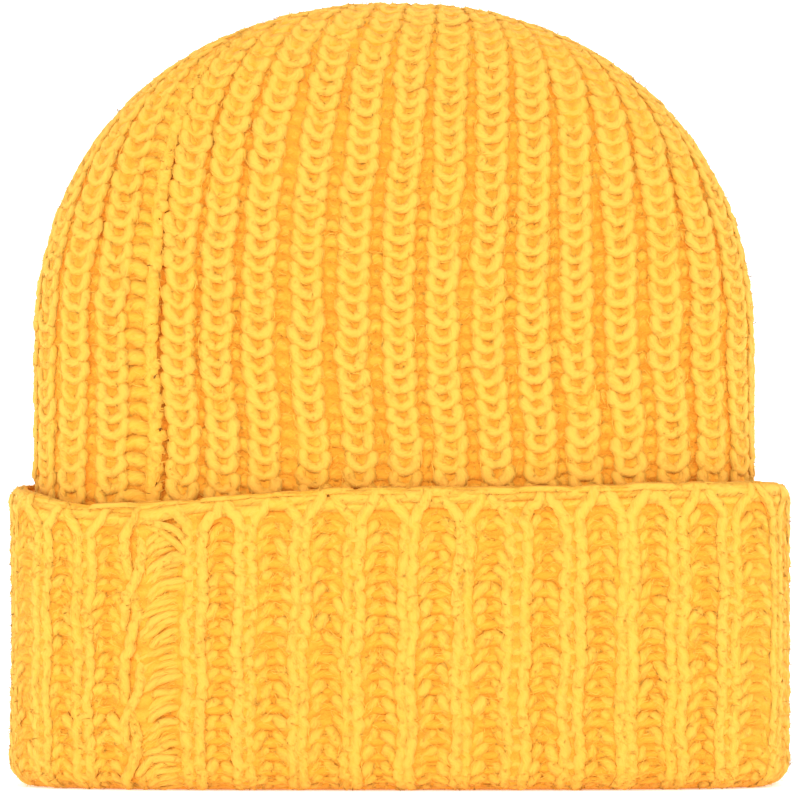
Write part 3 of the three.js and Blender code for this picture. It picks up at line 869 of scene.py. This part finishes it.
# The cuff's fabric: the outer face a little below its stitches, over the edge, down inside, and
# back under the fold.
def cuffGround():
    rows = np.arange(-foldCourses, cuffSkin.along - foldCourses + 0.01, 0.5)
    uu, vv = np.meshgrid(groundAcross, rows)
    wave = np.cos(2 * math.pi * (uu - cuff["seamToFirst"]))
    lift = (cuffLook["groundLift"] + 0.6 * wave) * ease((cuff["courses"] + 3 - vv) / 2)
    below = ease((cuff["courses"] - 1 - vv) / 2)
    ends = ease((np.abs(cuffPlace(uu, vv, 0 * vv)[..., 0]) - 92) / 8) * below
    fanned = ease((uu - 0.1) / 0.3) * ease((1.3 - uu) / 0.3) * below
    lift = lift + 0.3 * ends + 0.2 * fanned  # thicker at the ends and beside the seam
    # the fold lies flat on the table
    lift = lift + (cuff["sink"] - 0.12 - lift) * ease((-1.7 - vv) / 1.1)
    outer = cuffPlace(uu, vv, lift)
    # down inside from the pocket and in under the hat, each row an oval that is moved in and up
    upright = np.full_like(uu[:1], 4.0)
    oval = cuffSkin.read(cuffSkin.grid, uu[:1], upright)[0]
    way = cuffSkin.read(cuffSkin.normal, uu[:1], upright)[0]
    out, up = np.array(lipRows).T
    low = oval + way * out[:, None, None]
    low[..., 2] = up[:, None]
    down = [outer[-1] + (low[0] - outer[-1]) * k for k in (0.35, 0.7)]
    rows = np.concatenate([outer, np.stack(down), low])
    # painted shade: the ground's colour follows its lift, painted more orange where it lies lower
    # between the columns, and painted paler in the pocket behind the edge and on the inside
    paler = lift + 6 * ease((vv - cuff["courses"] - 1.5) / 2)  # the pocket behind the edge
    more = len(rows) - len(outer)
    heights = np.concatenate([paler, np.full((more, len(groundAcross)), 4.0)])
    courses = np.concatenate([vv, vv[-1] + np.arange(1, 1 + more)[:, None]])
    ob = ringShell("cuff_fabric", rows, True, heights, ribs=wave[0], courses=courses)
    finishPiece(ob, ground, "cuff_knit", "cuff")


cuffGround()

bridgeKnots = carriedOn([(-0.12, -0.2, 1.0), (-0.07, 0.0, 1.6), (0.0, 0.06, 1.8)])
lobeKnots = [
    (-0.37, -0.2, 0.7), (-0.29, 0.04, 1.3), (-0.20, 0.34, 1.5), (-0.12, 0.64, 1.35),
    (-0.04, 0.88, 0.7),
]
barKnots = carriedOn([(-0.38, 0.0, 0.3), (-0.22, 0.04, 0.9), (0.0, 0.06, 1.1)])
archKnots = carriedOn([(-0.34, -0.4, 0.2), (-0.2, 0.0, 0.5), (0.0, 0.3, 0.6)])


# The cuff's yarn: bridges across each column, and between the columns slanting lobes with bars
# under them. The top course has arches.
def cuffStitches():
    phase = rng.uniform(-0.1, 0.1, cuff["columns"])
    column, course = pairs(np.arange(cuff["columns"]), np.arange(-3, cuff["courses"]))
    middle, level = columnMiddle[column], course + phase[column]
    yarnTubes(
        "cuff_bridges", "cuff", middle, level, bridgeKnots, cuffLook["bridgeRadius"], 7,
        wide=1.25, perStitch=4,
    )
    low = course < cuff["courses"] - 1
    gap, level = middle[low] + 0.5, level[low]
    for side, knots in (("left", lobeKnots), ("right", mirrored(lobeKnots))):
        yarnTubes(
            "cuff_lobes_" + side, "cuff", gap, level + 0.4, knots, cuffLook["lobeRadius"], 7,
            wide=1.5, flat=0.58, loose=0.055,
        )
    yarnTubes(
        "cuff_arches", "cuff", columnMiddle + 0.5, cuff["courses"] - 0.95 + phase, archKnots,
        cuffLook["barRadius"], 7, wide=1.7, flat=0.7, material=shadedYarn,
    )
    yarnTubes(
        "cuff_bars", "cuff", gap, level + 0.6, barKnots, cuffLook["barRadius"], 7, wide=1.5,
        material=shadedYarn,
    )


cuffStitches()
print("cuff knitted")

edgeLook = {"strandRadius": 1.36, "bandRadius": 1.1, "thickness": 2.6}
top = cuff["courses"]
climb = np.arange(-3.5, top - 0.7, 0.25)
pinch = 0.022 * np.cos(2 * math.pi * climb)  # at each bridge
strandLift = 1.95 + 0.1 * np.cos(2 * math.pi * (climb - 0.4)) - 1.4 * ease((-2.6 - climb) / 0.9)
strandKnots = [(x, y, lift, 1.0) for x, y, lift in zip(0.108 - pinch, climb, strandLift)]
strandKnots += [
    (0.165, top - 0.45, 2.05, 1.05),
    (0.235, top - 0.08, 2.2, 1.1),
    (0.31, top + 0.35, 2.3, 1.15),
    (0.38, top + 0.8, 2.3, 1.2),
    (0.43, top + 1.3, 2.1, 1.2),
    (0.45, top + 1.8, 1.8, 1.1),
    (0.46, top + 2.4, 1.2, 1.0),
]
# the band's strands: half length in ribs, course above the top row, lift at the ends and in the
# middle
bandRows = [
    (0.30, 0.1, 1.2, 1.7),
    (0.38, 0.5, 1.4, 1.9),
    (0.48, 0.9, 1.6, 2.0),
    (0.52, 1.35, 1.5, 1.9),
    (0.52, 1.9, 0.9, 1.3),
]


# The edge's ground fills the CAD cord's place. A pair of long strands climbs beside each column,
# parts and goes over the edge, and five rows of short strands lie across it.
def boundEdge():
    rows = np.linspace(top + 0.1, top + 2 * edgeCourses - 0.1, 9)
    uu, vv = np.meshgrid(groundAcross, rows)
    lift = 0.8 + 0.6 * ease((vv - top - 0.3) / 0.8)
    outer = cuffPlace(uu, vv, lift)
    under = [cuffPlace(uu[:1], v, lift[:1] - edgeLook["thickness"]) for v in (vv[-1:], vv[:1])]
    rows = np.concatenate([outer, *under])
    ob = ringShell("edge_fabric", rows, True, np.full(rows.shape[:2], 4.5))
    finishPiece(ob, ground, "cuff_edge_knit", "cuff_edge")
    facing = top + edgeCourses * 0.6
    for side, knots in (("right", strandKnots), ("left", mirrored(strandKnots))):
        yarnTubes(
            "cuff_strands_" + side, "cuff", columnMiddle, 0 * columnMiddle, knots,
            edgeLook["strandRadius"], 104, 6, wide=1.3, flat=0.68, loose=0.045, perStitch=150,
            facing=facing,
        )
    middles = np.append(columnMiddle, cuffRound)
    widths = np.append(np.full(cuff["columns"], 1.04), 1.45)[:, None]
    for k, (w, v, low, high) in enumerate(bandRows):
        tail, inner = (w, top + v + 0.05, low), (w * 0.5, top + v, high)
        knots = [*mirrored([inner, tail]), inner, tail]
        yarnTubes(
            f"edge_band_{k}", "cuff", middles + 0.5 * (k % 2), 0 * middles, knots,
            edgeLook["bandRadius"], 9, widths=widths, wide=2.0, flat=0.65, loose=0.045,
            facing=facing, slot="cuff_edge_knit",
        )


boundEdge()
print("edge bound")

seamLook = {"yarnRadius": 1.5, "tailRadius": 1.0, "fanRadius": 0.9, "ridgeRadius": 0.9}
tailKnots = [
    (0.2, 15.9, 1.4), (0.5, 15.75, 2.2), (0.85, 15.2, 2.4), (1.06, 14.4, 2.2), (1.12, 13.6, 1.2),
]
fanKnots = [
    (0.2, -1.05, 0.6), (0.31, -0.42, 1.5), (0.52, 0.12, 1.8), (0.8, 0.42, 1.5), (1.08, 0.5, 0.5),
]
inside = -crown["wall"] - 0.6
ridgeKnots = [
    (-0.2, -0.3, inside), (-0.08, -0.1, inside - 1.6), (0.05, 0.2, inside - 1.8),
    (0.2, 0.4, inside),
]


# The cuff's seam is two strands wound round each other, with tails at the top and fanned stitches
# on its right. The crown's inner ridge is whipped with short slanting strands.
def seams():
    rows = np.arange(-3.5, top + 1.2, 0.25)
    turn = 2 * math.pi * rows / 8
    for name, way, nodes in (("", 1, ["cuff_seam"]), ("_second", -1, [])):
        lift = 1.9 + way * 0.6 * np.cos(turn) - 1.5 * ease((-2.6 - rows) / 0.9)
        twist = np.stack([0.04 + way * 0.15 * np.sin(turn), rows, lift], -1)
        yarnTubes(
            "cuff_seam_yarn" + name, "cuff", 0, np.zeros(1), twist, seamLook["yarnRadius"], 96, 6,
            loose=0.05, perStitch=200, slot="cuff_seam_yarn", nodes=nodes,
        )
    for k in range(2):
        tail = np.array(tailKnots) + k * np.array([0, -0.35, -0.2])
        yarnTubes(
            f"cuff_seam_tail_{k}", "cuff", 0, np.zeros(1), tail, seamLook["tailRadius"], 14, 6,
            perStitch=30, slot="cuff_seam_yarn",
        )
    courses = np.arange(-9, 3 * cuff["courses"] - 3) / 3 + 0.3
    yarnTubes(
        "cuff_seam_fans", "cuff", 0, courses, fanKnots, seamLook["fanRadius"], 9, wide=1.3,
        loose=0.1,
    )
    courses = np.arange(4, 2 * int(crown["courses"] * 0.88)) / 2
    yarnTubes(
        "crown_seam_yarn", "crown", 0, courses, ridgeKnots, seamLook["ridgeRadius"], 6, perStitch=0,
        material=shadedYarn, slot="crown_seam_yarn", nodes=["crown_seam"],
    )


seams()
makeHairs("crown", fibre, "crown_knit")
makeHairs("cuff", fibre, "cuff_knit")

knot = {"ring": 2.4, "turn": 1.3, "high": 1.2, "yarnRadius": 1.0, "rounds": 2, "winds": 5}


# The drawing yarn is tied in a flattened torus knot that sits in the dimple: while it goes twice
# round the middle it turns five times about that ring, a = (r + q cos 5t) cos 2t, b = (r + q cos
# 5t) sin 2t, c = h sin 5t.
def gatherKnot():
    facing = gatherFacing
    side = unit(np.cross(facing, [1.0, 0, 0]))
    other = np.cross(side, facing)
    rings, sides = 150, 6
    t = 2 * math.pi * np.arange(rings) / rings
    around, wind = knot["rounds"] * t, knot["winds"] * t
    ring = knot["ring"] + knot["turn"] * np.cos(wind)
    origin = gatherMiddle - facing * (crown["dimpleDepth"] - knot["high"] - 2.0)
    centre = (
        origin
        + (ring * np.cos(around))[:, None] * side
        + (ring * np.sin(around))[:, None] * other
        + (knot["high"] * np.sin(wind))[:, None] * facing
    )
    way = unit(centre - origin)
    along = unit(np.roll(centre, -1, 0) - np.roll(centre, 1, 0))
    across = unit(np.cross(way, along))
    out = np.cross(along, across)
    phi = 2 * math.pi * np.arange(sides) / sides
    tube = (
        centre[:, None]
        + across[:, None] * (knot["yarnRadius"] * np.cos(phi))[None, :, None]
        + out[:, None] * (knot["yarnRadius"] * np.sin(phi))[None, :, None]
    )
    quad, row, column = gridFaces(rings, sides, rings)
    u, v = row.ravel(), column.ravel() / sides
    bake = np.stack([0.02 + 0.96 * u / rings, 0.1 + 0.8 * v], -1)
    values = {
        # painted shade: the knot's yarn is painted yellow on its outer side and orange on its inner
        # side
        "height": np.tile(3.2 + 0.6 * np.sin(phi), rings),
        "shade": np.full(rings * sides, 0.5),
        "away": np.repeat(way, sides, 0),
    }
    uvs = {"yarn": np.stack([u * 0.3, v], -1), "OFBake": bake}
    ob = newMesh("gather_knot", tube.reshape(-1, 3), quad, noTris, uvs, values)
    finishPiece(ob, crownYarn, "gather_yarn", "crown_gather")


gatherKnot()
print("seams and gather made")

studio = {
    "floor": (0.97, 0.97, 0.97),
    "glow": 0.4,  # the table is lit from below
    "sky": 0.62,
    # turn and height in degrees, and power
    "lights": {
        "front": (-8, 8, 1.15),
        "above": (0, 65, 0.6),
        "left": (-75, 20, 1.2),
        "right": (75, 20, 1.2),
        "behind": (165, 45, 0.9),
    },
    "spread": 90,  # degrees of sky that each light fills
    "sensor": 36,
    "distance": 2.6,  # metres, as the next two
    "frameWidth": 0.2236,
    "aim": (0.0001, -0.02, 0.1082),
}


# Floor and back wall in one sheet, joined by a quarter circle: a profile carried along X.
def backdrop():
    radius, bendFrom = 900, 3500
    bend = np.linspace(0, math.pi / 2, 16)[1:]
    level = np.linspace(-2500, bendFrom, 8)
    y = np.concatenate([[-6000], level, bendFrom + radius * np.sin(bend), [bendFrom + radius]])
    z = np.concatenate([[0], np.zeros(8), radius - radius * np.cos(bend), [5000]])
    x = np.linspace(-5000, 5000, 5)
    yy, xx = np.meshgrid(y, x, indexing="ij")
    zz = np.broadcast_to(z[:, None], yy.shape)
    verts = np.stack([xx, yy, zz], -1).reshape(-1, 3)
    i, j = pairs(np.arange(len(y) - 1), np.arange(len(x) - 1))
    a = i * len(x) + j
    quads = np.stack([a, a + 1, a + 1 + len(x), a + len(x)], -1)
    ob = newMesh("floor", verts, quads)
    f = Finish("pale floor", {
        "Roughness": 0.7,
        "Base Color": (*studio["floor"], 1),
        "Specular IOR Level": 0.2,
        "Emission Color": (1, 1, 1, 1),
        "Emission Strength": studio["glow"],
    })
    ob.data.materials.append(f.material)


backdrop()


# A large far light: turn and height in degrees say where it shines from, seen from the hat (turn
# 0 is the front).
def softLight(name, turn, height, power):
    data = bpy.data.lights.new(name, "SUN")
    data.energy, data.angle = power, math.radians(studio["spread"])
    addObject(name, data).rotation_euler = (math.radians(90 - height), 0, math.radians(turn))


for light, (turn, height, power) in studio["lights"].items():
    softLight(light, turn, height, power)

scene = bpy.context.scene
scene.view_settings.view_transform = "Standard"
scene.world = bpy.data.worlds.new("studio")
scene.world.use_nodes = True
sky = scene.world.node_tree.nodes["Background"].inputs
sky["Color"].default_value, sky["Strength"].default_value = (1, 1, 1, 1), studio["sky"]

lens = bpy.data.cameras.new("camera")
lens.sensor_width = studio["sensor"]
lens.lens = studio["sensor"] * studio["distance"] / studio["frameWidth"]
camera = addObject("camera", lens)
aimX, aimY, aimZ = studio["aim"]
camera.location = (aimX, aimY - studio["distance"], aimZ)
camera.rotation_euler = (math.pi / 2, 0, 0)
scene.camera = camera
print("studio set")
